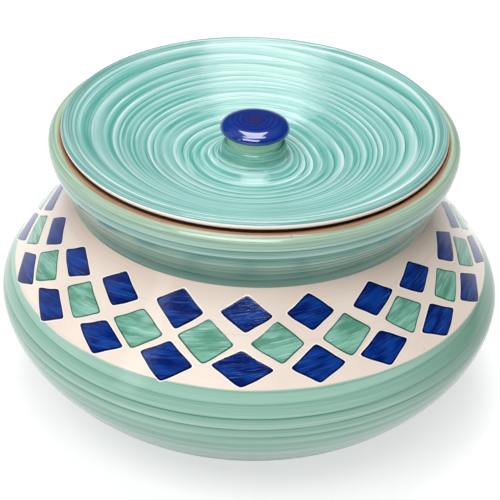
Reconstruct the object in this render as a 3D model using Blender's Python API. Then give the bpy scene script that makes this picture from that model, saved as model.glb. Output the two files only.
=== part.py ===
"""Squat lidded serving pot in glazed stoneware, with a sunken lid that lifts off by its knob.

Metres, +Z up. The origin is the centre of the foot ring's underside, which is the lowest face.
The pot is turned round: every member is one outline swept about the Z axis. Each outline is a
list of (radius, height) points that runs down the outer side and back up the inner side.
Members that touch keep a gap of JOINT_GAP between them.
"""
import math

import bmesh
import bpy

# ---- driving dimensions -------------------------------------------------------------------
JOINT_GAP = 0.0003
WALL = 0.0060
SEGMENTS = 48
KNOB_SEGMENTS = 32

FOOT_OUTER_RADIUS = 0.0640
FOOT_INNER_RADIUS = 0.0550
FOOT_HEIGHT = 0.0060
FOOT_TAPER = 0.0010

GIRTH_RADIUS = 0.1257
GIRTH_HEIGHT = 0.0620
GIRTH_ROUNDING = 0.0060
BELLY_FULLNESS = 0.0220
UNDERSIDE_FLAT = 0.0260
BAND_FOOT_RADIUS = 0.1178
BAND_FOOT_HEIGHT = 0.0775
NECK_RADIUS = 0.0897
NECK_HEIGHT = 0.1149

LIP_RADIUS = 0.0998
LIP_WIDEST_HEIGHT = 0.1430
LIP_ROLL_RADIUS = 0.0042
LIP_START_DEGREES = 105.0
FLARE_LENGTH = 0.0120
NECK_INNER_LEAN = 0.0015
NECK_INNER_RISE = 0.0080
THROAT_RADIUS = 0.0845
THROAT_HEIGHT = 0.1270
SEAT_WALL_RADIUS = 0.0910
SEAT_WALL_FOOT = 0.1365
SEAT_WALL_TOP = 0.1443
LIP_CHAMFER = 0.0010
SEAT_HEIGHT = 0.1419
LEDGE_INNER_RADIUS = 0.0815
LEDGE_LIP_DEPTH = 0.0045

LID_RADIUS = 0.0937
LID_EDGE_HEIGHT = 0.1496
LID_EDGE_ROLL = 0.0019
DISH_BRIM_RADIUS = 0.0895
DISH_BRIM_HEIGHT = 0.1508
DISH_FLOOR_RADIUS = 0.0270
DISH_FLOOR_HEIGHT = 0.1302
DISH_POWER = 1.4
BOSS_RADIUS = 0.0168
BOSS_HEIGHT = 0.1334
LID_SKIRT_RADIUS = 0.0902
LID_SKIRT_TOP = 0.1466
LID_FLOOR_THICKNESS = 0.0070

KNOB_FOOT_RADIUS = 0.0162
KNOB_WAIST_RADIUS = 0.0138
KNOB_WAIST_HEIGHT = 0.1402
KNOB_FOOT_ROUNDING = 0.0030
KNOB_WAIST_ROUNDING = 0.0020
KNOB_SHOULDER_WIDTH = 0.0012
KNOB_SHOULDER_RISE = 0.0035
CAP_UNDERCUT = 0.0004
CAP_RADIUS = 0.01705
CAP_FOOT_HEIGHT = 0.1462
CAP_DOME_HEIGHT = 0.0050
CAP_EDGE_HEIGHT = 0.0008
CAP_FLATNESS = 0.8


# ---- outline helpers ----------------------------------------------------------------------
def bezier(start, lead, follow, end, steps):
    """Points of a cubic curve in the (radius, height) plane, both ends included."""
    points = []
    for index in range(steps + 1):
        t = index / steps
        s = 1.0 - t
        weights = (s ** 3, 3 * s * s * t, 3 * s * t * t, t ** 3)
        controls = (start, lead, follow, end)
        points.append(tuple(sum(w * c[axis] for w, c in zip(weights, controls)) for axis in (0, 1)))
    return points


def arc(centre, radius, start_degrees, end_degrees, steps):
    """Points of a circular arc in the (radius, height) plane, both ends included."""
    points = []
    for index in range(steps + 1):
        angle = math.radians(start_degrees + (end_degrees - start_degrees) * index / steps)
        points.append((centre[0] + radius * math.cos(angle), centre[1] + radius * math.sin(angle)))
    return points


def inset(points, distance):
    """The outline moved to its inner side by distance, for points that run down the outer side."""
    moved = []
    for index, point in enumerate(points):
        before = points[max(index - 1, 0)]
        after = points[min(index + 1, len(points) - 1)]
        along = (after[0] - before[0], after[1] - before[1])
        length = math.hypot(*along)
        outward = (-along[1] / length, along[0] / length)
        moved.append((point[0] - distance * outward[0], point[1] - distance * outward[1]))
    return moved


def glaze(name, colour, roughness):
    material = bpy.data.materials.new(name)
    material.use_nodes = True
    shader = material.node_tree.nodes["Principled BSDF"]
    shader.inputs["Base Color"].default_value = (*colour, 1.0)
    shader.inputs["Roughness"].default_value = roughness
    shader.inputs["Metallic"].default_value = 0.0
    material.diffuse_color = (*colour, 1.0)
    return material


def turned(name, outline, material, parent, segments=SEGMENTS, closed=True):
    """One solid of revolution. A closed outline makes a ring, an open one starts and ends on Z."""
    mesh = bpy.data.meshes.new(name)
    bm = bmesh.new()
    verts = [bm.verts.new((radius, 0.0, height)) for radius, height in outline]
    pairs = list(zip(verts, verts[1:]))
    if closed:
        pairs.append((verts[-1], verts[0]))
    edges = [bm.edges.new(pair) for pair in pairs]
    bmesh.ops.spin(bm, geom=verts + edges, cent=(0.0, 0.0, 0.0), axis=(0.0, 0.0, 1.0),
                   angle=math.tau, steps=segments, use_merge=True, use_duplicate=False)
    bmesh.ops.remove_doubles(bm, verts=bm.verts, dist=0.000001)
    bmesh.ops.recalc_face_normals(bm, faces=bm.faces)
    bm.to_mesh(mesh)
    bm.free()
    mesh.materials.append(material)
    mesh.shade_smooth()
    mesh.set_sharp_from_angle(angle=math.radians(40.0))
    item = bpy.data.objects.new(name, mesh)
    bpy.context.scene.collection.objects.link(item)
    item.parent = parent
    return item


# ---- the wall lines that neighbouring members share ------------------------------------------
def shoulder_direction():
    """Unit vector up the shoulder's straight slope, from the band's foot to the neck."""
    rise = (NECK_RADIUS - BAND_FOOT_RADIUS, NECK_HEIGHT - BAND_FOOT_HEIGHT)
    length = math.hypot(*rise)
    return rise[0] / length, rise[1] / length


def shoulder_point(base, along, depth):
    """A point moved along the shoulder's slope and depth below its outer face."""
    up = shoulder_direction()
    return base[0] + along * up[0] - depth * up[1], base[1] + along * up[1] + depth * up[0]


def belly_line():
    """Outer side of the bowl, from the band's foot down over the girth to the underside."""
    band_foot = (BAND_FOOT_RADIUS, BAND_FOOT_HEIGHT)
    girth = (GIRTH_RADIUS, GIRTH_HEIGHT)
    underside = (FOOT_OUTER_RADIUS, FOOT_HEIGHT + JOINT_GAP)
    upper = bezier(band_foot, shoulder_point(band_foot, -GIRTH_ROUNDING, 0.0),
                   (GIRTH_RADIUS, GIRTH_HEIGHT + GIRTH_ROUNDING), girth, 4)
    lower = bezier(girth, (GIRTH_RADIUS, GIRTH_HEIGHT - BELLY_FULLNESS),
                   (FOOT_OUTER_RADIUS + UNDERSIDE_FLAT, underside[1]), underside, 9)
    return upper + lower[1:]


def collar_outer():
    """Outer side of the collar, from the lip's widest ring down its flare to the neck crease."""
    neck = shoulder_point((NECK_RADIUS, NECK_HEIGHT), JOINT_GAP, 0.0)
    return bezier((LIP_RADIUS, LIP_WIDEST_HEIGHT), (LIP_RADIUS, LIP_WIDEST_HEIGHT - FLARE_LENGTH),
                  (NECK_RADIUS, NECK_HEIGHT + FLARE_LENGTH), neck, 7)


def collar_inner():
    """Inner side of the collar, from the neck up to the foot of the upright wall round the lid."""
    neck = shoulder_point((NECK_RADIUS, NECK_HEIGHT), JOINT_GAP, WALL)
    return bezier(neck, (neck[0] - NECK_INNER_LEAN, neck[1] + NECK_INNER_RISE),
                  (THROAT_RADIUS, THROAT_HEIGHT), (SEAT_WALL_RADIUS, SEAT_WALL_FOOT), 6)


def dish_line(floor_height, brim, steps):
    """The lid's sunken curve, from the edge of its flat floor up and out to the brim point."""
    points = []
    for index in range(steps + 1):
        t = index / steps
        radius = DISH_FLOOR_RADIUS + t * (brim[0] - DISH_FLOOR_RADIUS)
        points.append((radius, floor_height + (brim[1] - floor_height) * t ** DISH_POWER))
    return points


# ---- pot body members ------------------------------------------------------------------------
def foot_ring_outline():
    """Low ring under the bowl, narrower at the bottom, that the pot stands on."""
    return [(FOOT_OUTER_RADIUS, FOOT_HEIGHT), (FOOT_OUTER_RADIUS - FOOT_TAPER, FOOT_TAPER),
            (FOOT_OUTER_RADIUS - 2.0 * FOOT_TAPER, 0.0), (FOOT_INNER_RADIUS + FOOT_TAPER, 0.0),
            (FOOT_INNER_RADIUS, FOOT_TAPER), (FOOT_INNER_RADIUS - FOOT_TAPER, FOOT_HEIGHT)]


def lower_bowl_outline():
    """Bowl from the painted band's foot down to its flat underside, closed on the axis."""
    outer = belly_line()
    inner = inset(outer, WALL)
    inner[0] = shoulder_point(outer[0], 0.0, WALL)
    floor_height = outer[-1][1] + WALL
    inner[-1] = (inner[-1][0], floor_height)
    return [(0.0, floor_height)] + inner[::-1] + outer + [(0.0, outer[-1][1])]


def shoulder_band_outline():
    """Straight sloping wall that carries the painted squares, from the belly to the neck."""
    foot = (BAND_FOOT_RADIUS, BAND_FOOT_HEIGHT)
    neck = (NECK_RADIUS, NECK_HEIGHT)
    slope = math.hypot(neck[0] - foot[0], neck[1] - foot[1])
    down = [slope, 0.5 * slope, JOINT_GAP]
    outer = [shoulder_point(foot, along, 0.0) for along in down]
    inner = [shoulder_point(foot, along, WALL) for along in down[::-1]]
    return outer + inner


def flared_collar_outline():
    """Neck that flares out to a thick rolled lip, with an upright wall inside round the lid."""
    roll_centre = (LIP_RADIUS - LIP_ROLL_RADIUS, LIP_WIDEST_HEIGHT)
    crown = arc(roll_centre, LIP_ROLL_RADIUS, LIP_START_DEGREES, 0.0, 5)
    inside_edge = [(SEAT_WALL_RADIUS, SEAT_WALL_TOP),
                   (SEAT_WALL_RADIUS + LIP_CHAMFER, SEAT_WALL_TOP + LIP_CHAMFER)]
    return crown + collar_outer()[1:] + collar_inner() + inside_edge


def lid_ledge_outline():
    """Ring luted inside the collar, flat on top, that the lid's rim rests on."""
    outer = [(radius - JOINT_GAP, height) for radius, height in collar_inner()[3:]][::-1]
    top_outer = (SEAT_WALL_RADIUS - JOINT_GAP, SEAT_HEIGHT)
    inner = [(LEDGE_INNER_RADIUS, SEAT_HEIGHT - LEDGE_LIP_DEPTH), (LEDGE_INNER_RADIUS, SEAT_HEIGHT)]
    return [top_outer] + outer + inner


# ---- lid members -----------------------------------------------------------------------------
def lid_dish_outline():
    """Sunken dish whose rolled edge overhangs the pot's lip and whose flat ring sits on the ledge."""
    seat = SEAT_HEIGHT + JOINT_GAP
    under_floor = DISH_FLOOR_HEIGHT - LID_FLOOR_THICKNESS
    top = dish_line(DISH_FLOOR_HEIGHT, (DISH_BRIM_RADIUS, DISH_BRIM_HEIGHT), 7)
    edge = arc((LID_RADIUS - LID_EDGE_ROLL, LID_EDGE_HEIGHT), LID_EDGE_ROLL, 90.0, -90.0, 5)
    skirt = [(LID_SKIRT_RADIUS, LID_SKIRT_TOP), (LID_SKIRT_RADIUS, seat)]
    under = dish_line(under_floor, (LEDGE_INNER_RADIUS, seat), 6)[::-1]
    boss = [(0.0, BOSS_HEIGHT), (BOSS_RADIUS, BOSS_HEIGHT)]
    return boss + top + edge + skirt + under + [(0.0, under_floor)]


def knob_stem_outline():
    """Waisted foot of the knob, which widens again under the cap."""
    foot = BOSS_HEIGHT + JOINT_GAP
    top = CAP_FOOT_HEIGHT - JOINT_GAP
    waist = (KNOB_WAIST_RADIUS, KNOB_WAIST_HEIGHT)
    shoulder = (KNOB_WAIST_RADIUS + KNOB_SHOULDER_WIDTH, KNOB_WAIST_HEIGHT + KNOB_SHOULDER_RISE)
    flare = bezier((CAP_RADIUS - CAP_UNDERCUT, top), shoulder,
                   (KNOB_WAIST_RADIUS, KNOB_WAIST_HEIGHT + KNOB_WAIST_ROUNDING), waist, 4)
    base = bezier(waist, (KNOB_FOOT_RADIUS, KNOB_WAIST_HEIGHT - CAP_UNDERCUT),
                  (KNOB_FOOT_RADIUS, foot + KNOB_FOOT_ROUNDING), (KNOB_FOOT_RADIUS, foot), 4)
    return [(0.0, top)] + flare + base[1:] + [(0.0, foot)]


def knob_cap_outline():
    """Low cap on the stem, a dome flattened in the middle."""
    dome_foot = CAP_FOOT_HEIGHT + CAP_EDGE_HEIGHT
    dome_rise = CAP_DOME_HEIGHT - CAP_EDGE_HEIGHT
    dome = []
    for step in range(7):
        angle = math.radians(90.0 - 15.0 * step)
        dome.append((CAP_RADIUS * math.cos(angle) ** CAP_FLATNESS, dome_foot + dome_rise * math.sin(angle)))
    dome[0] = (0.0, dome_foot + dome_rise)
    return dome + [(CAP_RADIUS - CAP_UNDERCUT, CAP_FOOT_HEIGHT), (0.0, CAP_FOOT_HEIGHT)]


# ---- assembly --------------------------------------------------------------------------------
def empty(name, parent=None):
    item = bpy.data.objects.new(name, None)
    bpy.context.scene.collection.objects.link(item)
    item.parent = parent
    return item


def build():
    for item in list(bpy.data.objects):
        bpy.data.objects.remove(item, do_unlink=True)

    bare_clay = glaze("bare_clay", (0.52, 0.42, 0.33), 0.85)
    sage = glaze("sage_glaze", (0.30, 0.52, 0.42), 0.25)
    cream = glaze("cream_glaze", (0.83, 0.74, 0.66), 0.25)
    teal = glaze("teal_glaze", (0.25, 0.45, 0.38), 0.22)
    turquoise = glaze("turquoise_glaze", (0.25, 0.60, 0.50), 0.18)
    olive = glaze("olive_glaze", (0.40, 0.52, 0.36), 0.22)
    cobalt = glaze("cobalt_glaze", (0.02, 0.05, 0.28), 0.12)

    pot = empty("pot_axis")
    turned("foot_ring", foot_ring_outline(), bare_clay, pot)
    turned("lower_bowl", lower_bowl_outline(), sage, pot, closed=False)
    turned("shoulder_band", shoulder_band_outline(), cream, pot)
    turned("flared_collar", flared_collar_outline(), teal, pot)
    turned("lid_ledge", lid_ledge_outline(), bare_clay, pot)

    lid = empty("lid_axis", pot)
    turned("lid_dish", lid_dish_outline(), turquoise, lid, closed=False)
    turned("knob_stem", knob_stem_outline(), olive, lid, KNOB_SEGMENTS, closed=False)
    turned("knob_cap", knob_cap_outline(), cobalt, lid, KNOB_SEGMENTS, closed=False)


build()
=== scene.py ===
import math

import bpy
import numpy as np
from mathutils import Matrix, Vector


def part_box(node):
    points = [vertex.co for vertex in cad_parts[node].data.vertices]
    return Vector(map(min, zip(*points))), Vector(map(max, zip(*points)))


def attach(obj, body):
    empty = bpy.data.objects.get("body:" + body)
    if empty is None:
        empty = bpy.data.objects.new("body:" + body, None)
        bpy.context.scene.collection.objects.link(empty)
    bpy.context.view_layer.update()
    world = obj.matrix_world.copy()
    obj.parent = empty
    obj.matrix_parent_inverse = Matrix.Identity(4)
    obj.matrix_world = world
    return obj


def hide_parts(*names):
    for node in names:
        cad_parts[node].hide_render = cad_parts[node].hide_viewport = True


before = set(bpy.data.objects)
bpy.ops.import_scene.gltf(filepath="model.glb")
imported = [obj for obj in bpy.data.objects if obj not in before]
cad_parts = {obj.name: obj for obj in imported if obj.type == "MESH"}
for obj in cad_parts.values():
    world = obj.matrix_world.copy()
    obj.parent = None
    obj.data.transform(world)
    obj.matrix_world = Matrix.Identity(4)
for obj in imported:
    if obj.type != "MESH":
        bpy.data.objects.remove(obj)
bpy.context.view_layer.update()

# ---- sizes: from model.glb where a node's box gives them, otherwise the design's own --------------
MM = 0.001
BOWL_LOW, BOWL_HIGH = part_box("lower_bowl")
LID_LOW, LID_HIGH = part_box("lid_dish")
CAP_LOW, CAP_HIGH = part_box("knob_cap")
STEM_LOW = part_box("knob_stem")[0]
COLLAR_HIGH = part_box("flared_collar")[1]
LEDGE_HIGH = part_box("lid_ledge")[1]
FOOT_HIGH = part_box("foot_ring")[1]

JOINT_GAP = 0.3 * MM
WALL = 6.0 * MM

FOOT_INNER_RADIUS = 55.0 * MM
FOOT_OVERLAP = 0.2 * MM
UNDERSIDE = BOWL_LOW.z
GIRTH_RADIUS = BOWL_HIGH.x
GIRTH_HEIGHT = 62.0 * MM
GIRTH_ROUNDING = 6.0 * MM
BELLY_FULLNESS = 22.0 * MM
UNDERSIDE_FLAT = 26.0 * MM
BAND_FOOT = (117.8 * MM, BOWL_HIGH.z)
NECK = (89.7 * MM, 114.9 * MM)

LIP_RADIUS = COLLAR_HIGH.x
LIP_ROLL = 4.2 * MM
LIP_WIDEST = COLLAR_HIGH.z - LIP_ROLL
LIP_START_DEGREES = 105.0
LIP_INNER_EDGE = (92.6 * MM, 146.3 * MM)
FLARE_LENGTH = 12.0 * MM
NECK_INNER_LEAN = 1.5 * MM
NECK_INNER_RISE = 8.0 * MM
THROAT = (84.5 * MM, 127.0 * MM)
SEAT_WALL = LEDGE_HIGH.x + JOINT_GAP
SEAT_WALL_FOOT = 136.5 * MM
SEAT_WALL_TOP = 143.6 * MM
SEAT_WALL_ROUNDING = 1.7 * MM
SEAT_HEIGHT = LEDGE_HIGH.z
LEDGE_BORE = 81.5 * MM
LEDGE_DEPTH = 4.5 * MM
LEDGE_NOSE = 0.8 * MM
LEDGE_FIT = 0.1 * MM

LID_RADIUS = LID_HIGH.x
LID_TOP = LID_HIGH.z
LID_EDGE_ROLL = 2.25 * MM
SKIRT_RADIUS = 90.2 * MM
SKIRT_TOP = 146.6 * MM
SKIRT_FOOT = 145.2 * MM
SKIRT_CHAMFER = 0.5 * MM
BOSS_HEIGHT = STEM_LOW.z - JOINT_GAP
DISH_FLOOR = (27.0 * MM, 129.9 * MM)
DISH_BRIM = (89.5 * MM, LID_TOP - 0.7 * MM)
DISH_POWER = 1.4
FILLET_RISE = 0.9 * MM
FILLET_TUCK = 0.4 * MM
TROUGH_WIDTH = 2.6 * MM
TROUGH_DEPTH = 0.6 * MM

KNOB_FOOT = 16.2 * MM
KNOB_FOOT_ROUNDING = 3.0 * MM
KNOB_FOOT_SINK = 0.8 * MM
KNOB_WAIST = 13.8 * MM
KNOB_WAIST_HEIGHT = 140.2 * MM
KNOB_WAIST_ROUNDING = 2.0 * MM
KNOB_SHOULDER = (KNOB_WAIST + 1.2 * MM, KNOB_WAIST_HEIGHT + 3.5 * MM)
CAP_UNDERCUT = 0.35 * MM
CAP_EDGE = 0.9 * MM
CAP_FLATNESS = 0.43

WIDE_SEGMENTS = 288
LID_SEGMENTS = 360
KNOB_SEGMENTS = 128


# ---- outlines -------------------------------------------------------------------------------------
def bezier(start, lead, follow, end, steps):
    """Points of a cubic curve, both ends included."""
    t = np.linspace(0.0, 1.0, steps + 1)[:, None]
    s = 1.0 - t
    start, lead, follow, end = map(np.array, (start, lead, follow, end))
    return s ** 3 * start + 3 * s * s * t * lead + 3 * s * t * t * follow + t ** 3 * end


def arc(centre, radius, start_degrees, end_degrees, steps):
    """Points of a circular arc, both ends included."""
    angle = np.radians(np.linspace(start_degrees, end_degrees, steps + 1))
    return np.stack([centre[0] + radius * np.cos(angle), centre[1] + radius * np.sin(angle)], 1)


def line(start, end, steps):
    """Points of a straight run, both ends included."""
    t = np.linspace(0.0, 1.0, steps + 1)[:, None]
    return (1.0 - t) * np.array(start) + t * np.array(end)


def length(points):
    """Metres along an outline."""
    return float(np.linalg.norm(np.diff(points, axis=0), axis=1).sum())


def outward(points):
    """Unit vectors that point out of the clay, one for each outline point."""
    along = np.gradient(points, axis=0)
    along /= np.linalg.norm(along, axis=1)[:, None]
    return np.stack([-along[:, 1], along[:, 0]], 1)


def inset(points, distance):
    """The outline moved into the clay."""
    return points - distance * outward(points)


SLOPE = np.array(NECK) - np.array(BAND_FOOT)
SLOPE_LENGTH = float(np.linalg.norm(SLOPE))
SLOPE_UP = SLOPE / SLOPE_LENGTH
SLOPE_OUT = np.array([SLOPE_UP[1], -SLOPE_UP[0]])


def shoulder_point(base, along, depth):
    """A point along metres up the shoulder's slope from base and depth below its surface."""
    return np.array(base) + along * SLOPE_UP - depth * SLOPE_OUT


ROUNDING_STEPS = 24
BELLY_STEPS = 72
FLOOR_STEPS = 12
INNER_STEP = 3
INNER_BOWL_POINTS = FLOOR_STEPS + (ROUNDING_STEPS + BELLY_STEPS) // INNER_STEP + 1


def bowl_outer():
    """Outer side of the bowl, from the band's foot down over the girth to the underside."""
    girth = (GIRTH_RADIUS, GIRTH_HEIGHT)
    upper = bezier(BAND_FOOT, shoulder_point(BAND_FOOT, -GIRTH_ROUNDING, 0.0),
                   (GIRTH_RADIUS, GIRTH_HEIGHT + GIRTH_ROUNDING), girth, ROUNDING_STEPS)
    lower = bezier(girth, (GIRTH_RADIUS, GIRTH_HEIGHT - BELLY_FULLNESS),
                   (FOOT_HIGH.x + UNDERSIDE_FLAT, UNDERSIDE), (FOOT_HIGH.x, UNDERSIDE), BELLY_STEPS)
    return np.concatenate([upper, lower[1:]])


def bowl_outline():
    """From the middle of the inside, up the inner wall, down the outer wall to the middle beneath."""
    outer = bowl_outer()
    inner = inset(outer, WALL)[::INNER_STEP]
    inner[0] = shoulder_point(BAND_FOOT, 0.0, WALL)
    floor_height = UNDERSIDE + WALL
    inner[-1][1] = floor_height
    inside_floor = line((0.0, floor_height), inner[-1], FLOOR_STEPS)[:-1]
    base = line(outer[-1], (0.0, UNDERSIDE), 10)[1:]
    return np.concatenate([inside_floor, inner[::-1], outer, base])


def band_outline():
    """Straight sloping wall that carries the painted squares, from the belly to the neck."""
    outer = [shoulder_point(BAND_FOOT, along, 0.0) for along in np.linspace(SLOPE_LENGTH, 0.0, 60)]
    inner = [shoulder_point(BAND_FOOT, along, WALL) for along in np.linspace(0.0, SLOPE_LENGTH, 10)]
    return np.array(outer + inner)


CROWN_STEPS = 22
FLARE_STEPS = 84


def collar_inner(steps):
    """Inner side of the collar, from the neck up to the foot of the upright wall round the lid."""
    neck = shoulder_point(NECK, 0.0, WALL)
    return bezier(neck, neck + np.array([-NECK_INNER_LEAN, NECK_INNER_RISE]), THROAT,
                  (SEAT_WALL, SEAT_WALL_FOOT), steps)


def collar_outline():
    """Over the rolled lip, down the flare to the neck and up the inside again."""
    crown = arc((LIP_RADIUS - LIP_ROLL, LIP_WIDEST), LIP_ROLL, LIP_START_DEGREES, 0.0, CROWN_STEPS)
    flare = bezier((LIP_RADIUS, LIP_WIDEST), (LIP_RADIUS, LIP_WIDEST - FLARE_LENGTH),
                   (NECK[0], NECK[1] + FLARE_LENGTH), NECK, FLARE_STEPS)
    wall_top = (SEAT_WALL, SEAT_WALL_TOP)
    seat_wall = line((SEAT_WALL, SEAT_WALL_FOOT), wall_top, 8)[1:]
    inner_edge = bezier(wall_top, (SEAT_WALL, SEAT_WALL_TOP + SEAT_WALL_ROUNDING), LIP_INNER_EDGE,
                        crown[0], 10)[1:-1]
    return np.concatenate([crown, flare[1:], collar_inner(18), seat_wall, inner_edge])


def ledge_outline():
    """Ring inside the collar, flat on top with a rounded nose, that the lid rests on."""
    outer = collar_inner(24)[12:][::-1] - np.array([LEDGE_FIT, 0.0])
    top_outer = (SEAT_WALL - LEDGE_FIT, SEAT_HEIGHT)
    nose_top = (LEDGE_BORE + LEDGE_NOSE, SEAT_HEIGHT)
    fit_line = line(top_outer, outer[0], 4)[:-1]
    under = line(outer[-1], (LEDGE_BORE, SEAT_HEIGHT - LEDGE_DEPTH), 8)[1:]
    nose = arc((nose_top[0], SEAT_HEIGHT - LEDGE_NOSE), LEDGE_NOSE, 180.0, 90.0, 5)[:-1]
    top = line(nose_top, top_outer, 6)[:-1]
    return np.concatenate([fit_line, outer, under, nose, top])


def dish_line(floor_height, brim, steps):
    """The lid's sunken curve, from the lowest ring of the dish up and out to the brim point."""
    t = np.linspace(0.0, 1.0, steps + 1)
    radii = DISH_FLOOR[0] + t * (brim[0] - DISH_FLOOR[0])
    return np.stack([radii, floor_height + (brim[1] - floor_height) * t ** DISH_POWER], 1)


def lid_outline():
    """From the boss under the knob, out over the dish and the rolled edge, and back underneath."""
    floor_radius, floor_height = DISH_FLOOR
    seat = SEAT_HEIGHT + JOINT_GAP
    fillet = line((KNOB_FOOT - FILLET_TUCK, BOSS_HEIGHT + FILLET_RISE),
                  (floor_radius - TROUGH_WIDTH, floor_height + TROUGH_DEPTH), 14)
    boss = line((0.0, fillet[0][1]), fillet[0], 4)[:-1]
    trough = bezier(fillet[-1], (floor_radius - 1.6 * MM, floor_height + 0.1 * MM),
                    (floor_radius - 0.6 * MM, floor_height), (floor_radius + 0.8 * MM, floor_height), 8)[1:]
    top = dish_line(floor_height, DISH_BRIM, 150)[3:-4]
    roll_radius = LID_RADIUS - LID_EDGE_ROLL
    brim = bezier(top[-1], DISH_BRIM, (roll_radius - 1.0 * MM, LID_TOP), (roll_radius, LID_TOP), 8)[1:]
    edge = arc((roll_radius, LID_TOP - LID_EDGE_ROLL), LID_EDGE_ROLL, 90.0, -90.0, 20)[1:]
    skirt_foot = (SKIRT_RADIUS, SKIRT_FOOT)
    skirt = bezier(edge[-1], (SKIRT_RADIUS + 0.2 * MM, edge[-1][1]), (SKIRT_RADIUS, SKIRT_TOP),
                   skirt_foot, 6)[1:]
    side = line(skirt_foot, (SKIRT_RADIUS, seat + SKIRT_CHAMFER), 5)[1:]
    seat_ring = line((SKIRT_RADIUS - SKIRT_CHAMFER, seat), (LEDGE_BORE, seat), 6)
    under = dish_line(LID_LOW.z, (LEDGE_BORE, seat), 36)[::-1][1:]
    middle = line((floor_radius, LID_LOW.z), (0.0, LID_LOW.z), 6)[1:]
    return np.concatenate([boss, fillet, trough, top, brim, edge, skirt, side, seat_ring, under, middle])


def stem_outline():
    """Waisted stem, wider under the cap and at the foot, which sinks a little into the lid's fillet."""
    top = CAP_LOW.z - 0.05 * MM
    waist = (KNOB_WAIST, KNOB_WAIST_HEIGHT)
    neck = bezier((CAP_HIGH.x - CAP_UNDERCUT, top), KNOB_SHOULDER,
                  (KNOB_WAIST, KNOB_WAIST_HEIGHT + KNOB_WAIST_ROUNDING), waist, 20)
    foot = bezier(waist, (KNOB_FOOT, KNOB_WAIST_HEIGHT - 0.4 * MM),
                  (KNOB_FOOT, STEM_LOW.z + KNOB_FOOT_ROUNDING),
                  (KNOB_FOOT, STEM_LOW.z - KNOB_FOOT_SINK), 20)[1:]
    return np.concatenate([line((0.0, top), neck[0], 4)[:-1], neck, foot, [(0.0, foot[-1][1])]])


def cap_outline():
    """Low cap: a dome flattened in the middle over a small round edge."""
    dome_foot = CAP_LOW.z + CAP_EDGE
    angle = np.radians(np.linspace(90.0, 0.0, 40))
    dome = np.stack([CAP_HIGH.x * np.cos(angle) ** CAP_FLATNESS,
                     dome_foot + (CAP_HIGH.z - dome_foot) * np.sin(angle)], 1)
    dome[0][0] = 0.0
    under = bezier(dome[-1], (CAP_HIGH.x, CAP_LOW.z + 0.3 * MM), (CAP_HIGH.x - 0.1 * MM, CAP_LOW.z),
                   (CAP_HIGH.x - 0.8 * MM, CAP_LOW.z), 8)[1:]
    return np.concatenate([dome, under, [(0.0, CAP_LOW.z)]])


def foot_outline():
    """Turned foot ring with softened edges, its top just inside the bowl's underside."""
    outer, inner, height = FOOT_HIGH.x, FOOT_INNER_RADIUS, FOOT_HIGH.z + FOOT_OVERLAP
    side = line((outer, height), (outer - 0.8 * MM, 1.2 * MM), 6)
    toe = bezier(side[-1], (outer - 1.0 * MM, 0.2 * MM), (outer - 1.3 * MM, 0.0),
                 (outer - 2.2 * MM, 0.0), 6)[1:]
    sole = line(toe[-1], (inner + 1.2 * MM, 0.0), 6)[1:]
    heel = bezier(sole[-1], (inner + 0.4 * MM, 0.0), (inner + 0.1 * MM, 0.4 * MM),
                  (inner, 1.4 * MM), 5)[1:]
    hollow = line(heel[-1], (inner - 0.8 * MM, height), 5)[1:]
    return np.concatenate([side, toe, sole, heel, hollow])


# ---- the maker's hand -----------------------------------------------------------------------------
OVAL = 0.0010
THREE_LOBED = 0.0005
LEVEL_WARP = 0.0008
HAND_ROOM = 0.1 * MM
UNEVEN_WAVES = np.array([1.0, 2.3, 4.9])


class Brush:
    """Brush rings laid down while the wheel turns. The phase counts the strokes across the surface.
    stroke is a stroke's width, uneven how much the widths differ, and wander how far a ring strays."""

    def __init__(self, seed, stroke, uneven, wander):
        rng = np.random.default_rng(seed)
        self.stroke = stroke
        waves = rng.uniform(0.7, 1.4, 3) * UNEVEN_WAVES / stroke / 6.0
        self.uneven = [(uneven / 3.0 / wave / stroke, wave, rng.uniform(0, math.tau)) for wave in waves]
        self.wander = [(wander / lobes, lobes, rng.uniform(0, math.tau), rng.uniform(-60.0, 60.0))
                       for lobes in range(1, 5)]

    def phase(self, turn, s):
        """Strokes laid by this turn, s metres along the outline: a spiral of one stroke a turn."""
        total = s / self.stroke + turn / math.tau
        for amount, waves, shift in self.uneven:
            total = total + amount * np.sin(waves * s + shift)
        for amount, lobes, shift, drift in self.wander:
            total = total + amount * np.sin(lobes * turn + shift + drift * s)
        return total


def by_hand(radius, turn, height):
    """The slightly uneven round of a hand-thrown pot. It only shrinks, so it stays inside the CAD box."""
    rounder = 1.0 - OVAL * (1.0 - np.sin(2.0 * turn + 0.7))
    rounder = rounder - THREE_LOBED * (1.0 - np.sin(3.0 * turn + 2.1))
    lift = LEVEL_WARP * (np.sin(2.0 * turn + 1.3) - 1.0) * height
    return radius * rounder - HAND_ROOM, height + lift


# ---- turned pieces --------------------------------------------------------------------------------
ON_AXIS = 1e-7
CLAY_SHARP_DEGREES = 50.0


def make_piece(name, verts, faces, uv_maps, sharp_degrees, material, body):
    """A smooth-shaded object from mesh data, which rides on body and takes material as its finish."""
    mesh = bpy.data.meshes.new(name)
    mesh.from_pydata(verts, [], faces)
    for layer, values in uv_maps.items():
        mesh.uv_layers.new(name=layer).data.foreach_set("uv", np.asarray(values).ravel())
    mesh.shade_smooth()
    mesh.set_sharp_from_angle(angle=math.radians(sharp_degrees))
    mesh.materials.append(material)
    piece = bpy.data.objects.new(name, mesh)
    bpy.context.scene.collection.objects.link(piece)
    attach(piece, body)
    return piece


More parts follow.
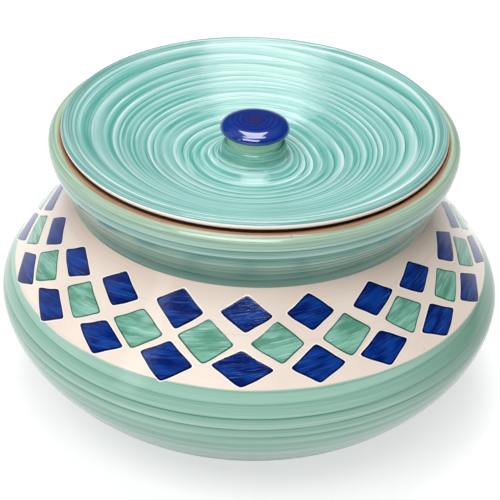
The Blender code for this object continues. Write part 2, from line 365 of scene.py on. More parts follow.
def turned_verts(outline, radius, level, turn, closed):
    """Vertices of a turned surface, and the number of the one at each outline point and turn."""
    segments = len(turn) - 1
    verts = []
    index = np.zeros((len(outline), segments), int)
    for i in range(len(outline) - int(closed)):
        if outline[i, 0] < ON_AXIS:
            index[i] = len(verts)
            verts.append((0.0, 0.0, float(level[i, 0])))
            continue
        index[i] = len(verts) + np.arange(segments)
        ring = np.stack([radius[i] * np.cos(turn), radius[i] * np.sin(turn), level[i]], 1)
        verts.extend(ring[:segments].tolist())
    if closed:
        index[-1] = index[0]
    return verts, index


def turned_faces(index):
    """Faces of a turned surface, triangles at the axis, and each corner's outline point and turn."""
    rows, segments = index.shape
    faces, corners = [], []
    for i in range(rows - 1):
        for j in range(segments):
            k = (j + 1) % segments
            face = [(index[i, j], i, j), (index[i + 1, j], i + 1, j),
                    (index[i + 1, k], i + 1, j + 1), (index[i, k], i, j + 1)]
            if face[0][0] == face[3][0]:
                face.pop(3)
            elif face[1][0] == face[2][0]:
                face.pop(2)
            faces.append([int(corner[0]) for corner in face])
            corners.extend(corner[1:] for corner in face)
    return faces, np.array(corners)


def lathe(name, outline, body, node, material, segments=WIDE_SEGMENTS, brush=None, relief=0.0,
          closed=True):
    """A turned piece: a ring if its outline is closed, or a disc that starts and ends on the axis.
    The UV map turn holds (turns, metres along the outline), and brush the stroke phase."""
    if closed:
        outline = np.concatenate([outline, outline[:1]])
    s = np.concatenate([[0.0], np.cumsum(np.linalg.norm(np.diff(outline, axis=0), axis=1))])
    turn = math.tau * np.arange(segments + 1) / segments
    s_grid, turn_grid = np.meshgrid(s, turn, indexing="ij")
    phase = brush.phase(turn_grid, s_grid) if brush else s_grid * 0.0
    ridges = -relief * (0.5 - 0.5 * np.cos(math.tau * phase + 0.8 * np.sin(math.tau * phase)))
    if closed:
        ridges[0] = ridges[-1] = 0.0
    normal = outward(outline)
    radius, level = by_hand(outline[:, :1] + normal[:, :1] * ridges, turn_grid,
                            outline[:, 1:] + normal[:, 1:] * ridges)
    verts, index = turned_verts(outline, radius, level, turn, closed)
    faces, corners = turned_faces(index)
    strokes = phase[corners[:, 0], corners[:, 1]]
    uv_maps = {"turn": np.stack([corners[:, 1] / segments, s[corners[:, 0]]], 1),
               "brush": np.stack([strokes, strokes * 0.0], 1)}
    piece = make_piece(name, verts, faces, uv_maps, CLAY_SHARP_DEGREES, material, body)
    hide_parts(node)


# ---- painted squares ------------------------------------------------------------------------------
SQUARES_ROUND = 20
SQUARE_STEPS = np.concatenate([[0.0, 0.012, 0.03, 0.06], np.linspace(0.1, 0.9, 13),
                               [0.94, 0.97, 0.988, 1.0]])
CORNER_POWER = 11.0
CORNER_STRAY = 0.55 * MM
SQUARE_LEAN = 0.035
EDGE_WAVER = 0.10 * MM
HALO = 0.45 * MM
PAINT_DEPTH = 0.10 * MM
PAINT_LIFT = 0.02 * MM
PAINT_SINK = 0.25 * MM
PAINT_EDGE_SHARE = 0.05
PAINT_SHARP_DEGREES = 60.0
TONE_SPREAD = 10.0


def drift(turn):
    """How far the painter's rows stray up the slope, at a turn from -Y towards +X."""
    return 1.9 * MM * np.cos(2.0 * turn - 0.35)


def rounded_square(p, q):
    """Points of the unit square drawn in towards its middle until its corners are round."""
    across, up = np.abs(2 * p - 1), np.abs(2 * q - 1)
    reach = np.maximum(across, up)
    round_reach = (across ** CORNER_POWER + up ** CORNER_POWER) ** (1 / CORNER_POWER)
    shrink = np.where(reach > 0.0, reach / np.maximum(round_reach, 1e-6), 1.0)
    return 0.5 + (p - 0.5) * shrink, 0.5 + (q - 0.5) * shrink


def patch_corners(count):
    """Faces of a thin closed patch of count by count points, as (layer, row, column) corners."""
    last = count - 1
    faces = []
    for i in range(last):
        for j in range(last):
            faces.append([(0, i, j), (0, i + 1, j), (0, i + 1, j + 1), (0, i, j + 1)])
            faces.append([(1, i, j), (1, i, j + 1), (1, i + 1, j + 1), (1, i + 1, j)])
        faces.append([(0, i, 0), (1, i, 0), (1, i + 1, 0), (0, i + 1, 0)])
        faces.append([(0, i + 1, last), (1, i + 1, last), (1, i, last), (0, i, last)])
        faces.append([(0, 0, i + 1), (1, 0, i + 1), (1, 0, i), (0, 0, i)])
        faces.append([(0, last, i), (1, last, i), (1, last, i + 1), (0, last, i + 1)])
    return np.array(faces)


def painted_square(rng, u, v, half_wide, tall):
    """One hand-painted square flat on the slope, standing on a corner: metres across and up it."""
    reach = np.array([half_wide, tall / 2.0]) * rng.normal(1.0, 0.02, 2) + HALO
    tips = np.array([(-1.0, 0.0), (0.0, -1.0), (1.0, 0.0), (0.0, 1.0)]) * reach
    tips += rng.normal(0.0, CORNER_STRAY, (4, 2))
    tips[:, 1] -= SQUARE_LEAN * tips[:, 0]
    left, bottom, right, top = tips
    flat = ((1 - u) * (1 - v))[..., None] * left + (u * (1 - v))[..., None] * bottom
    flat = flat + (u * v)[..., None] * right + ((1 - u) * v)[..., None] * top
    up_shift, across_shift, _, _ = rng.uniform(0, math.tau, 4)
    flat[..., 1] += EDGE_WAVER * np.sin(9.0 * flat[..., 0] / half_wide + up_shift)
    flat[..., 0] += EDGE_WAVER * np.sin(7.0 * flat[..., 1] / half_wide + across_shift)
    return flat


def painted_row(name, along, width_share, tall, first_turn, seed, material):
    """A row of squares standing on a corner, each a thin closed patch of glaze on the shoulder."""
    rng = np.random.default_rng(seed)
    p, q = np.meshgrid(SQUARE_STEPS, SQUARE_STEPS, indexing="ij")
    u, v = rounded_square(p, q)
    rim = np.minimum(np.minimum(p, 1 - p), np.minimum(q, 1 - q))
    swell = np.clip(rim / PAINT_EDGE_SHARE, 0.0, 1.0)
    swell = swell * swell * (3.0 - 2.0 * swell)
    layers = (PAINT_DEPTH * swell + PAINT_LIFT, np.full_like(swell, -PAINT_SINK))
    count = len(SQUARE_STEPS)
    patch = patch_corners(count)
    _, row, column = patch.reshape(-1, 3).T
    row_radius = shoulder_point(BAND_FOOT, along, 0.0)[0]
    half_wide = width_share * math.pi * row_radius / SQUARES_ROUND
    verts, faces, square_uv, metre_uv = [], [], [], []
    for number in range(SQUARES_ROUND):
        centre_turn = math.radians(first_turn + rng.normal(0.0, 0.35)) + math.tau * number / SQUARES_ROUND
        centre_along = along + drift(centre_turn) + rng.normal(0.0, 0.30 * MM)
        flat = painted_square(rng, u, v, half_wide, tall)
        tone = rng.uniform(0.0, 1.0)
        faces.extend((len(verts) + patch @ (count * count, count, 1)).tolist())
        square_uv.append(np.stack([SQUARE_STEPS[row], SQUARE_STEPS[column]], 1))
        metre_uv.append(flat[row, column] + (TONE_SPREAD * tone, number))
        turn = centre_turn + flat[..., 0] / row_radius - math.pi / 2.0
        for lift in layers:
            place = np.array(BAND_FOOT) + (centre_along + flat[..., 1])[..., None] * SLOPE_UP
            place = place + lift[..., None] * SLOPE_OUT
            radius, level = by_hand(place[..., 0], turn, place[..., 1])
            sheet = np.stack([radius * np.cos(turn), radius * np.sin(turn), level], -1)
            verts.extend(sheet.reshape(-1, 3).tolist())
    uv_maps = {"square": np.concatenate(square_uv), "metres": np.concatenate(metre_uv)}
    make_piece(name, verts, faces, uv_maps, PAINT_SHARP_DEGREES, material, "pot")


# ---- shader building ------------------------------------------------------------------------------
def rgb(red, green, blue):
    """A colour seen on screen, as linear light."""
    channels = [value / 255.0 for value in (red, green, blue)]
    linear = [c / 12.92 if c <= 0.04045 else ((c + 0.055) / 1.055) ** 2.4 for c in channels]
    return (*linear, 1.0)


class Shader:
    """A material with one Principled shader, and short names for the nodes that feed it."""

    def __init__(self, name, roughness, coat=0.0):
        self.material = bpy.data.materials.new(name)
        self.material.use_nodes = True
        self.tree = self.material.node_tree
        self.surface = self.tree.nodes["Principled BSDF"]
        self.surface.inputs["Roughness"].default_value = roughness
        self.surface.inputs["Coat Weight"].default_value = coat
        self.surface.inputs["Coat Roughness"].default_value = 0.03

    def node(self, kind, *values, **settings):
        made = self.tree.nodes.new("ShaderNode" + kind)
        for key, value in settings.items():
            setattr(made, key, value)
        for socket, value in enumerate(values):
            self.feed(made.inputs[socket], value)
        return made

    def feed(self, socket, value):
        if isinstance(value, bpy.types.NodeSocket):
            self.tree.links.new(value, socket)
        else:
            socket.default_value = value

    def math(self, operation, *values):
        return self.node("Math", *values, operation=operation).outputs[0]

    def plus(self, a, b):
        return self.math("ADD", a, b)

    def minus(self, a, b):
        return self.math("SUBTRACT", a, b)

    def times(self, a, b):
        return self.math("MULTIPLY", a, b)

    def away(self, value, middle):
        """How far value is from middle, on either side."""
        return self.math("ABSOLUTE", self.minus(value, middle))

    def uv(self, layer):
        split = self.node("SeparateXYZ", self.node("UVMap", uv_map=layer).outputs[0])
        return split.outputs[0], split.outputs[1]

    def point(self):
        """The surface point as one vector, in metres."""
        return self.node("TexCoord").outputs["Object"]

    def place(self):
        """The surface point's x, y and z, in metres."""
        split = self.node("SeparateXYZ", self.point())
        return split.outputs[0], split.outputs[1], split.outputs[2]

    def radius(self):
        """The surface point's distance from the pot's axis."""
        x, y, _ = self.place()
        return self.math("SQRT", self.plus(self.times(x, x), self.times(y, y)))

    def angle(self):
        """The surface point's turn from +X towards +Y."""
        x, y, _ = self.place()
        return self.math("ARCTAN2", y, x)

    def vector(self, x, y, z):
        return self.node("CombineXYZ", x, y, z).outputs[0]

    def noise(self, vector, scale, detail=2.0, roughness=0.5):
        made = self.node("TexNoise", noise_dimensions="3D")
        self.feed(made.inputs["Vector"], vector)
        made.inputs["Scale"].default_value = scale
        made.inputs["Detail"].default_value = detail
        made.inputs["Roughness"].default_value = roughness
        return made.outputs["Fac"]

    def along_stroke(self, number, scale):
        """A tone that differs from stroke to stroke and drifts slowly along each one."""
        made = self.node("TexNoise", noise_dimensions="1D")
        self.feed(made.inputs["W"], number)
        made.inputs["Scale"].default_value = scale
        made.inputs["Detail"].default_value = 1.0
        return self.fade(made.outputs["Fac"], 0.32, 0.68)

    def wavering(self, scale, height):
        """A slow random shift of up to half of height either way."""
        return self.times(self.minus(self.noise(self.point(), scale, detail=3.0), 0.5), height)

    def ramp(self, factor, stops):
        made = self.node("ValToRGB", factor)
        elements = made.color_ramp.elements
        while len(elements) < len(stops):
            elements.new(0.5)
        for element, (position, colour) in zip(elements, stops):
            element.position = position
            element.color = colour
        return made.outputs[0]

    def fade(self, value, low, high, start=0.0, end=1.0):
        """Goes smoothly from start where value is low to end where it is high."""
        made = self.node("MapRange", value, low, high, start, end, interpolation_type="SMOOTHSTEP")
        made.clamp = True
        return made.outputs[0]

    def mix(self, factor, a, b):
        made = self.node("Mix", data_type="RGBA")
        for socket, value in ((0, factor), (6, a), (7, b)):
            self.feed(made.inputs[socket], value)
        return made.outputs[2]

    def colour(self, value):
        self.feed(self.surface.inputs["Base Color"], value)

    def rough(self, value):
        self.feed(self.surface.inputs["Roughness"], value)

    def bump(self, height, depth):
        made = self.node("Bump")
        made.inputs["Strength"].default_value = 1.0
        made.inputs["Distance"].default_value = depth
        self.feed(made.inputs["Height"], height)
        self.feed(self.surface.inputs["Normal"], made.outputs[0])


# ---- what the glazes share --------------------------------------------------------------------------
def streaks(shader, around, fine):
    """Noise drawn out along the wheel's turn. fine is its scale across the strokes, around along them."""
    _, along = shader.uv("turn")
    angle = shader.angle()
    vector = shader.vector(shader.times(shader.math("COSINE", angle), around),
                           shader.times(shader.math("SINE", angle), around), shader.times(along, fine))
    return shader.noise(vector, 1.0, detail=3.0, roughness=0.6)


def two_tone(shader, factor, low, high, first, second):
    """Goes from the first colour where the factor is low to the second where it is high."""
    return shader.mix(shader.fade(factor, low, high), first, second)


def brushed(shader, tones, contrast, bold):
    """Colour of brushed rings: each stroke fades from a dark edge over the body to a pale edge.
    bold is the stroke tone above which that edge starts to show. Also returns the fine streaks."""
    dark, deep, body, pale, light = tones
    phase, _ = shader.uv("brush")
    turn, _ = shader.uv("turn")
    stroke = shader.math("FRACT", phase)
    number = shader.minus(shader.math("FLOOR", phase), turn)
    tone = shader.along_stroke(number, 1.3)
    second_tone = shader.along_stroke(number, 2.9)
    strong = shader.ramp(stroke, [(0.0, dark), (0.07, deep), (0.22, body), (0.55, pale), (0.86, light),
                                  (0.95, pale), (1.0, dark)])
    soft = shader.ramp(stroke, [(0.0, body), (0.3, deep), (0.62, body), (0.85, pale), (1.0, body)])
    rings = two_tone(shader, tone, bold, bold + 0.5, soft, strong)
    fine = streaks(shader, 1.3, 1500.0)
    wide = streaks(shader, 0.9, 260.0)
    rings = shader.mix(shader.times(shader.fade(fine, 0.50, 0.72), 0.55 * contrast), rings, deep)
    rings = shader.mix(shader.times(shader.fade(fine, 0.46, 0.26), 0.60 * contrast), rings, light)
    rings = shader.mix(shader.times(shader.fade(wide, 0.42, 0.66), 0.35), rings, body)
    rings = shader.mix(shader.times(shader.fade(second_tone, 0.55, 1.0), 0.35), rings, pale)
    return rings, fine


def speckled(shader, colour, amount, tint):
    """Sparse iron specks that bleed through the glaze."""
    cells = shader.node("TexVoronoi", feature="F1", distance="EUCLIDEAN")
    shader.feed(cells.inputs["Vector"], shader.point())
    cells.inputs["Scale"].default_value = 170.0
    share = shader.node("SeparateColor", cells.outputs["Color"]).outputs[0]
    picked = shader.math("GREATER_THAN", share, 1.0 - amount)
    dot = shader.fade(cells.outputs["Distance"], 0.10, 0.045)
    return shader.mix(shader.times(shader.times(dot, picked), 0.75), colour, tint)


def glaze_relief(shader, streak, depth):
    """Ripples, orange peel and brush ridges in the glaze. Returns the ripples."""
    ripple = shader.noise(shader.point(), 60.0, detail=1.0)
    peel = shader.noise(shader.point(), 700.0, detail=1.0)
    height = shader.plus(shader.times(streak, 0.10), shader.times(peel, 0.04))
    shader.bump(shader.plus(height, shader.times(ripple, 0.8)), depth)
    return ripple


def finish_glaze(shader, streak, depth, low=0.07, high=0.13):
    """Glossy but uneven: the relief, and a gloss that varies with its ripples."""
    ripple = glaze_relief(shader, streak, depth)
    shader.rough(shader.fade(ripple, 0.3, 0.7, low, high))


def lining(shader):
    """Cream glaze of the pot's inside."""
    cloud = shader.noise(shader.point(), 26.0, detail=3.0)
    return two_tone(shader, cloud, 0.3, 0.7, rgb(238, 226, 212), rgb(228, 213, 198))


def above_green(shader):
    """One above the brushed upper limit of the belly's green, which strays up and down round the pot."""
    _, _, z = shader.place()
    double_turn = shader.math("MULTIPLY_ADD", shader.angle(), 2.0, -0.35)
    stray = shader.times(shader.math("COSINE", double_turn), 1.0 * MM)
    level = shader.plus(shader.plus(z, stray), shader.wavering(28.0, 1.2 * MM))
    return shader.fade(level, BAND_FOOT[1] - 0.7 * MM, BAND_FOOT[1] + 0.1 * MM)


# ---- glazes and paints ------------------------------------------------------------------------------
def turquoise_glaze():
    """The lid: brushed rings in the dish, with painted shade towards the back and the right and painted
    light at the front; a pale line, wider and brighter at the front as a painted highlight, and a darker rim
    at its edge; a white line of bare clay under the edge, painted as bright as a highlight; bare clay below.
    """
    shader = Shader("turquoise_brushed_glaze", 0.10)
    tones = (rgb(34, 106, 96), rgb(76, 150, 140), rgb(116, 180, 172), rgb(164, 204, 200), rgb(212, 230, 228))
    rings, fine = brushed(shader, tones, contrast=1.3, bold=0.25)
    x, y, z = shader.place()
    radius = shader.radius()
    # painted shade: the dish is darker towards the back and the right
    painted_shade_back_right = shader.fade(shader.math("MULTIPLY_ADD", x, 0.5, y), -20.0 * MM, 90.0 * MM, 0.0, 0.32)
    rings = shader.mix(painted_shade_back_right, rings, rgb(84, 150, 140))
    # painted light: the dish is paler towards the front
    painted_light_front = shader.fade(y, -10.0 * MM, -80.0 * MM, 0.0, 0.22)
    rings = shader.mix(painted_light_front, rings, rgb(190, 224, 218))
    rim = shader.fade(radius, LID_RADIUS - 6.0 * MM, LID_RADIUS - 4.8 * MM)
    rings = shader.mix(rim, rings, two_tone(shader, fine, 0.4, 0.6, rgb(104, 154, 148), rgb(148, 190, 184)))
    # a pale line near the edge, made wider and brighter towards the front as a painted highlight
    front_highlight = shader.fade(y, -20.0 * MM, -80.0 * MM)
    line_width = shader.math("MULTIPLY_ADD", front_highlight, 1.6 * MM, 0.8 * MM)
    line_weight = shader.math("MULTIPLY_ADD", front_highlight, 0.55, 0.40)
    pale_line_and_highlight = shader.fade(shader.away(radius, LID_RADIUS - 6.4 * MM), line_width, 0.3 * MM)
    rings = shader.mix(shader.times(pale_line_and_highlight, line_weight), rings, rgb(234, 249, 247))
    # a line of bare clay under the rolled edge, painted near-white as a painted highlight that the lamps
    # don't give there
    below_roll = shader.fade(z, LID_TOP - 1.4 * MM, LID_TOP - 1.8 * MM)
    outside = shader.fade(radius, LID_RADIUS - 3.6 * MM, LID_RADIUS - 3.2 * MM)
    rings = shader.mix(shader.times(below_roll, outside), rings, rgb(255, 252, 246))
    below_edge = shader.fade(z, LID_TOP - 3.4 * MM, LID_TOP - 3.7 * MM)
    skirt = shader.times(below_edge, shader.fade(radius, LEDGE_BORE + 2.0 * MM, LEDGE_BORE + 4.0 * MM))
    rings = shader.mix(skirt, rings, rgb(150, 112, 84))
    shader.colour(speckled(shader, rings, 0.05, rgb(52, 108, 98)))
    finish_glaze(shader, fine, 0.25 * MM)
    return shader.material


def sage_glaze():
    """The belly: brushed rings, darker towards the foot as painted shade and duller there, with painted
    shade on its right side, and the cream lining inside.
    """
    shader = Shader("sage_brushed_glaze", 0.10)
    tones = (rgb(44, 96, 74), rgb(102, 152, 132), rgb(128, 170, 154), rgb(144, 182, 168), rgb(166, 198, 187))
    rings, fine = brushed(shader, tones, contrast=1.2, bold=-0.10)
    x, _, z = shader.place()
    # painted shade: darker towards the foot
    low = shader.fade(z, 56.0 * MM, 20.0 * MM, 0.0, 0.85)
    rings = shader.mix(low, rings, rgb(72, 106, 104))
    high = shader.fade(z, 66.0 * MM, 78.0 * MM, 0.0, 0.45)
    rings = shader.mix(high, rings, rgb(168, 206, 190))
    # painted shade: darker on the right side
    right = shader.fade(x, 60.0 * MM, GIRTH_RADIUS, 0.0, 0.60)
    rings = shader.mix(right, rings, rgb(76, 124, 100))
    rings = shader.mix(above_green(shader), rings, rgb(236, 222, 208))
    _, along = shader.uv("turn")
    wall_top = length(bowl_outline()[:INNER_BOWL_POINTS])
    inside = shader.times(shader.fade(along, 0.0, 0.6 * MM),
                          shader.fade(along, wall_top, wall_top - 0.6 * MM))
    rings = shader.mix(inside, rings, lining(shader))
    shader.colour(speckled(shader, rings, 0.03, rgb(70, 104, 88)))
    glaze_relief(shader, fine, 0.22 * MM)
    shader.rough(shader.fade(z, 44.0 * MM, 20.0 * MM, 0.10, 0.45))
    return shader.material


def cream_glaze():
    """The shoulder under the squares, with painted shade under the collar that makes it darker and browner
    towards the neck, and the belly's green at its foot.
    """
    shader = Shader("cream_glaze", 0.10)
    _, _, z = shader.place()
    fine = streaks(shader, 1.0, 500.0)
    cloud = shader.noise(shader.point(), 22.0, detail=3.0)
    base = two_tone(shader, cloud, 0.3, 0.7, rgb(241, 228, 216), rgb(233, 218, 206))
    base = shader.mix(shader.times(shader.fade(fine, 0.52, 0.75), 0.35), base, rgb(216, 198, 184))
    # painted shade under the collar: darker and browner towards the neck
    neck = shader.fade(z, NECK[1] - 11.0 * MM, NECK[1], 0.0, 0.55)
    base = shader.mix(neck, base, rgb(205, 184, 168))
    base = shader.mix(above_green(shader), rgb(140, 184, 164), base)
    shader.colour(speckled(shader, base, 0.03, rgb(150, 128, 108)))
    finish_glaze(shader, fine, 0.18 * MM)
    return shader.material


def teal_glaze():
    """The collar: brushed rings, darker at the neck from darker glaze and painted shade, a sage crown, a tan
    inner lip and a cream inside.
    """
    shader = Shader("teal_brushed_glaze", 0.10)
    tones = (rgb(38, 90, 78), rgb(74, 130, 118), rgb(106, 155, 143), rgb(140, 180, 169), rgb(182, 208, 200))
    rings, fine = brushed(shader, tones, contrast=1.3, bold=0.0)
    _, along = shader.uv("turn")
    _, y, z = shader.place()
    # darker towards the neck: a darker glaze there, deepened by painted shade under the flare
    neck = shader.fade(z, 133.0 * MM, 118.0 * MM, 0.0, 0.80)
    rings = shader.mix(neck, rings, rgb(56, 102, 88))
    crown = shader.fade(z, 139.5 * MM, 145.5 * MM, 0.0, 0.85)
    sage = two_tone(shader, fine, 0.4, 0.62, rgb(172, 194, 170), rgb(142, 168, 146))
    rings = shader.mix(crown, rings, sage)
    narrower_behind = shader.fade(y, -0.9 * LIP_RADIUS, 0.1 * LIP_RADIUS, 0.0, 2.4 * MM)
    reach = shader.plus(shader.plus(shader.radius(), shader.wavering(30.0, 1.6 * MM)), narrower_behind)
    inner_lip = shader.times(shader.fade(reach, LIP_RADIUS - 2.3 * MM, LIP_RADIUS - 3.8 * MM),
                             shader.fade(z, 139.0 * MM, 140.0 * MM))
    tan = two_tone(shader, fine, 0.35, 0.65, rgb(164, 128, 98), rgb(132, 100, 76))
    rings = shader.mix(inner_lip, rings, tan)
    outer_length = length(collar_outline()[:CROWN_STEPS + FLARE_STEPS + 1])
    inside = shader.math("GREATER_THAN", along, outer_length)
    below_ledge = shader.fade(z, 140.0 * MM, 139.0 * MM)
    rings = shader.mix(shader.times(inside, below_ledge), rings, lining(shader))
    shader.colour(speckled(shader, rings, 0.03, rgb(60, 92, 80)))
    finish_glaze(shader, fine, 0.28 * MM)
    return shader.material


def olive_glaze():
    """The knob's stem: green below, pale olive above, and a lighter ring at the waist."""
    shader = Shader("olive_glaze", 0.10)
    _, _, z = shader.place()
    fine = streaks(shader, 1.0, 1400.0)
    green = two_tone(shader, fine, 0.35, 0.65, rgb(140, 192, 178), rgb(98, 158, 144))
    pale = two_tone(shader, fine, 0.35, 0.65, rgb(200, 220, 190), rgb(164, 198, 172))
    upper = shader.fade(z, KNOB_WAIST_HEIGHT + 0.6 * MM, KNOB_WAIST_HEIGHT + 1.2 * MM)
    ring = shader.fade(shader.away(z, KNOB_WAIST_HEIGHT + 0.5 * MM), 0.45 * MM, 0.15 * MM)
    colour = shader.mix(upper, green, pale)
    shader.colour(shader.mix(shader.times(ring, 0.7), colour, rgb(206, 214, 170)))
    finish_glaze(shader, fine, 0.15 * MM)
    return shader.material


def cobalt_glaze():
    """The knob's cap: brushed cobalt, plum in the middle with a small dark spot, under a clear coat."""
    shader = Shader("cobalt_brushed_glaze", 0.05, coat=1.0)
    phase, _ = shader.uv("brush")
    radius = shader.radius()
    fine = streaks(shader, 1.4, 1700.0)
    blue = shader.ramp(shader.math("FRACT", phase),
                       [(0.0, rgb(6, 22, 92)), (0.3, rgb(10, 46, 130)), (0.62, rgb(18, 50, 136)),
                        (0.85, rgb(16, 42, 124)), (1.0, rgb(6, 22, 92))])
    blue = shader.mix(shader.fade(fine, 0.45, 0.68), blue, rgb(26, 54, 138))
    rim = shader.fade(radius, 9.5 * MM, 15.5 * MM)
    blue = shader.mix(shader.times(rim, 0.75), blue, rgb(4, 48, 132))
    plum = shader.fade(radius, 10.0 * MM, 2.0 * MM, 0.0, 0.5)
    blue = shader.mix(plum, blue, rgb(34, 36, 98))
    spot = shader.fade(shader.plus(radius, shader.times(fine, 1.2 * MM)), 3.4 * MM, 1.6 * MM)
    shader.colour(shader.mix(shader.times(spot, 0.85), blue, rgb(58, 36, 66)))
    finish_glaze(shader, fine, 0.05 * MM, 0.02, 0.05)
    return shader.material


def square_paint(name, tones, slip, halo, line_width, roughness):
    """Brushed paint inside one square: a darker outline, slanting strokes and a pale rim of slip.
    halo and line_width are shares of the square's side."""
    outline, deep, body, light = tones
    shader = Shader(name, roughness)
    p, q = shader.uv("square")
    wide, tall = shader.uv("metres")
    rim = shader.math("MINIMUM", shader.math("MINIMUM", p, shader.minus(1.0, p)),
                      shader.math("MINIMUM", q, shader.minus(1.0, q)))
    slant = shader.plus(tall, shader.times(wide, -0.16))
    stroke_place = shader.vector(shader.times(wide, 50.0), shader.times(slant, 1500.0), 0.0)
    strokes = shader.noise(stroke_place, 1.0, detail=3.0, roughness=0.65)
    broad_place = shader.vector(shader.times(wide, 70.0), shader.times(slant, 260.0), 3.0)
    broad = shader.noise(broad_place, 1.0, detail=2.0)
    paint = two_tone(shader, broad, 0.35, 0.65, deep, body)
    paint = shader.mix(shader.times(shader.fade(strokes, 0.55, 0.74), 0.8), paint, light)
    paint = shader.mix(shader.times(shader.fade(strokes, 0.46, 0.30), 0.6), paint, deep)
    edge = shader.plus(rim, shader.times(shader.minus(broad, 0.5), 0.03))
    paint = shader.mix(shader.fade(edge, halo + line_width, halo + 0.55 * line_width), paint, outline)
    shader.colour(shader.mix(shader.fade(rim, halo, 0.6 * halo), paint, slip))
    shader.rough(shader.fade(strokes, 0.3, 0.7, roughness * 0.7, roughness * 1.4))
    shader.bump(shader.plus(strokes, shader.noise(shader.point(), 700.0)), 0.05 * MM)
    return shader.material


def bare_clay():
    """Unglazed stoneware: matt, cloudy and grainy."""
    shader = Shader("bare_stoneware", 0.8)
    grain = shader.noise(shader.point(), 900.0, detail=4.0, roughness=0.7)
    cloud = shader.noise(shader.point(), 45.0, detail=3.0)
    clay = two_tone(shader, cloud, 0.3, 0.7, rgb(196, 164, 132), rgb(176, 142, 112))
    clay = shader.mix(shader.times(shader.fade(grain, 0.55, 0.75), 0.5), clay, rgb(134, 104, 82))
    shader.colour(clay)
    shader.rough(shader.fade(grain, 0.3, 0.7, 0.7, 0.9))
    shader.bump(grain, 0.3 * MM)
    return shader.material


# ---- studio -----------------------------------------------------------------------------------------
CAMERA_PITCH = math.radians(33.4)
CAMERA_ROLL = math.radians(2.1)
CAMERA_DISTANCE = 0.800
CAMERA_SHIFT = (0.6 * MM, 23.3 * MM)
CAMERA_LENS = 111.0
CAMERA_SENSOR = 36.0
CAMERA_CLIP_START = 0.05
AIM_HEIGHT = 48.0 * MM

FLOOR_SIZE = 6.0
FLOOR_TONE = 182
FLOOR_GLOW = 0.64

ROOM_LEVELS = [(0.0, 0.46), (0.12, 0.40), (0.24, 0.05), (0.62, 0.05), (0.90, 0.40)]
ROOM_LEAN = (-0.52, 0.20, 0.0)
ROOM_STRENGTH = 0.75


def camera():
    ahead = Vector((0.0, math.cos(CAMERA_PITCH), -math.sin(CAMERA_PITCH)))
    upright = Vector((0.0, math.sin(CAMERA_PITCH), math.cos(CAMERA_PITCH)))
    side = Vector((1.0, 0.0, 0.0))
    right = math.cos(CAMERA_ROLL) * side + math.sin(CAMERA_ROLL) * upright
    up = math.cos(CAMERA_ROLL) * upright - math.sin(CAMERA_ROLL) * side
    aim = Vector((0.0, 0.0, AIM_HEIGHT)) + CAMERA_SHIFT[0] * right + CAMERA_SHIFT[1] * up
    data = bpy.data.cameras.new("camera")
    data.lens = CAMERA_LENS
    data.sensor_width = CAMERA_SENSOR
    data.clip_start = CAMERA_CLIP_START
    item = bpy.data.objects.new("camera", data)
    bpy.context.scene.collection.objects.link(item)
    turn = Matrix((right, up, -ahead)).transposed().to_4x4()
    item.matrix_world = Matrix.Translation(aim - CAMERA_DISTANCE * ahead) @ turn
    bpy.context.scene.camera = item


def softbox(name, place, target_height, width, height, power):
    """A rectangular light that faces the pot's axis at target_height."""
    data = bpy.data.lights.new(name, "AREA")
    data.shape = "RECTANGLE"
    data.size = width
    data.size_y = height
    data.energy = power
    item = bpy.data.objects.new(name, data)
    item.location = place
    towards = Vector((0.0, 0.0, target_height)) - Vector(place)
    item.rotation_euler = towards.to_track_quat("-Z", "Y").to_euler()
    bpy.context.scene.collection.objects.link(item)


def floor():
    half = FLOOR_SIZE / 2.0
    mesh = bpy.data.meshes.new("floor")
    mesh.from_pydata([(-half, -half, 0.0), (half, -half, 0.0), (half, half, 0.0), (-half, half, 0.0)], [],
                     [(0, 1, 2, 3)])
    shader = Shader("white_floor", 0.9)
    shader.colour(rgb(FLOOR_TONE, FLOOR_TONE, FLOOR_TONE))
    shader.surface.inputs["Emission Color"].default_value = (1.0, 1.0, 1.0, 1.0)
    shader.surface.inputs["Emission Strength"].default_value = FLOOR_GLOW
    mesh.materials.append(shader.material)
    item = bpy.data.objects.new("floor", mesh)
    bpy.context.scene.collection.objects.link(item)


def room():
    """Pale near the horizon, dim above it and pale again overhead, and brighter on the left."""
    world = bpy.data.worlds.new("studio")
    bpy.context.scene.world = world
    world.use_nodes = True
    tree = world.node_tree
    background = tree.nodes["Background"]
    direction = tree.nodes.new("ShaderNodeTexCoord").outputs["Generated"]
    split = tree.nodes.new("ShaderNodeSeparateXYZ")
    tree.links.new(direction, split.inputs[0])
    ramp = tree.nodes.new("ShaderNodeValToRGB")
    tree.links.new(split.outputs[2], ramp.inputs[0])
    elements = ramp.color_ramp.elements
    while len(elements) < len(ROOM_LEVELS):
        elements.new(0.5)
    for element, (position, level) in zip(elements, ROOM_LEVELS):
        element.position = position
        element.color = (level, level, level, 1.0)
    tree.links.new(ramp.outputs[0], background.inputs["Color"])
    lean = tree.nodes.new("ShaderNodeVectorMath")
    lean.operation = "DOT_PRODUCT"
    lean.inputs[1].default_value = ROOM_LEAN
    tree.links.new(direction, lean.inputs[0])
    strength = tree.nodes.new("ShaderNodeMath")
    strength.inputs[1].default_value = ROOM_STRENGTH
    tree.links.new(lean.outputs["Value"], strength.inputs[0])
    tree.links.new(strength.outputs[0], background.inputs["Strength"])


def studio():
    camera()
    floor()
    room()
    softbox("overhead_back", (-0.02, 0.54, 1.26), 0.13, 0.40, 0.66, 4.8)
    softbox("overhead", (-0.01, 0.05, 1.36), 0.13, 0.74, 0.38, 6.0)
    softbox("left_window", (-1.33, -1.10, 1.05), 0.09, 0.30, 1.00, 1.5)
    softbox("left_wall", (-1.70, 0.10, 1.10), 0.07, 1.20, 1.20, 2.0)
    softbox("front_ceiling", (-0.25, -1.05, 1.65), 0.08, 1.40, 0.80, 26.0)
    bpy.context.scene.view_settings.view_transform = "Standard"


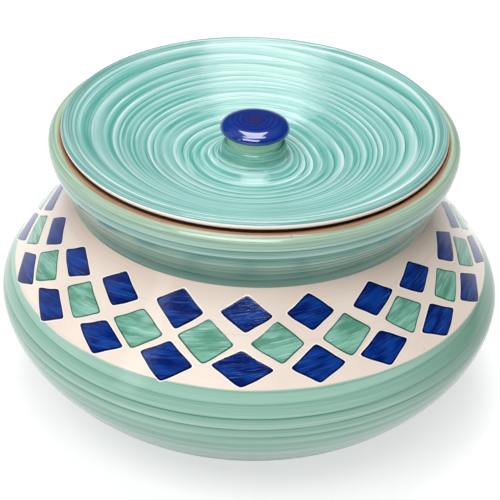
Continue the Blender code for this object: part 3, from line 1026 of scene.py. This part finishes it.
# ---- assembly ---------------------------------------------------------------------------------------
def clay_members():
    clay = bare_clay()
    lathe("foot_ring_clay", foot_outline(), "pot", "foot_ring", clay)
    lathe("bowl_sage", bowl_outline(), "pot", "lower_bowl", sage_glaze(),
          brush=Brush(11, 6.5 * MM, 0.7, 0.10), relief=0.06 * MM, closed=False)
    lathe("band_cream", band_outline(), "pot", "shoulder_band", cream_glaze(),
          brush=Brush(5, 9.0 * MM, 0.3, 0.1), relief=0.03 * MM)
    lathe("collar_teal", collar_outline(), "pot", "flared_collar", teal_glaze(),
          brush=Brush(21, 4.2 * MM, 0.7, 0.35), relief=0.08 * MM)
    lathe("ledge_clay", ledge_outline(), "pot", "lid_ledge", clay)
    lathe("lid_turquoise", lid_outline(), "lid", "lid_dish", turquoise_glaze(),
          segments=LID_SEGMENTS, brush=Brush(8, 4.6 * MM, 0.75, 0.40), relief=0.045 * MM, closed=False)
    lathe("stem_olive", stem_outline(), "lid", "knob_stem", olive_glaze(),
          segments=KNOB_SEGMENTS, closed=False)
    lathe("cap_cobalt", cap_outline(), "lid", "knob_cap", cobalt_glaze(),
          segments=KNOB_SEGMENTS, brush=Brush(3, 2.6 * MM, 0.5, 0.2), relief=0.01 * MM, closed=False)


def painted_rows():
    blue_tones = (rgb(2, 8, 62), rgb(2, 26, 98), rgb(14, 60, 144), rgb(66, 104, 174))
    blue = square_paint("cobalt_squares", blue_tones, rgb(252, 246, 242), 0.030, 0.060, 0.10)
    green_tones = (rgb(40, 96, 74), rgb(88, 148, 126), rgb(132, 188, 170), rgb(216, 238, 228))
    green = square_paint("green_squares", green_tones, rgb(240, 230, 220), 0.022, 0.045, 0.12)
    painted_row("squares_top_blue", 32.8 * MM, 0.81, 17.4 * MM, -0.7, 31, blue)
    painted_row("squares_middle_green", 19.9 * MM, 0.80, 19.6 * MM, 7.6, 32, green)
    painted_row("squares_bottom_blue", 8.6 * MM, 0.80, 18.0 * MM, -1.1, 33, blue)


clay_members()
painted_rows()
studio()
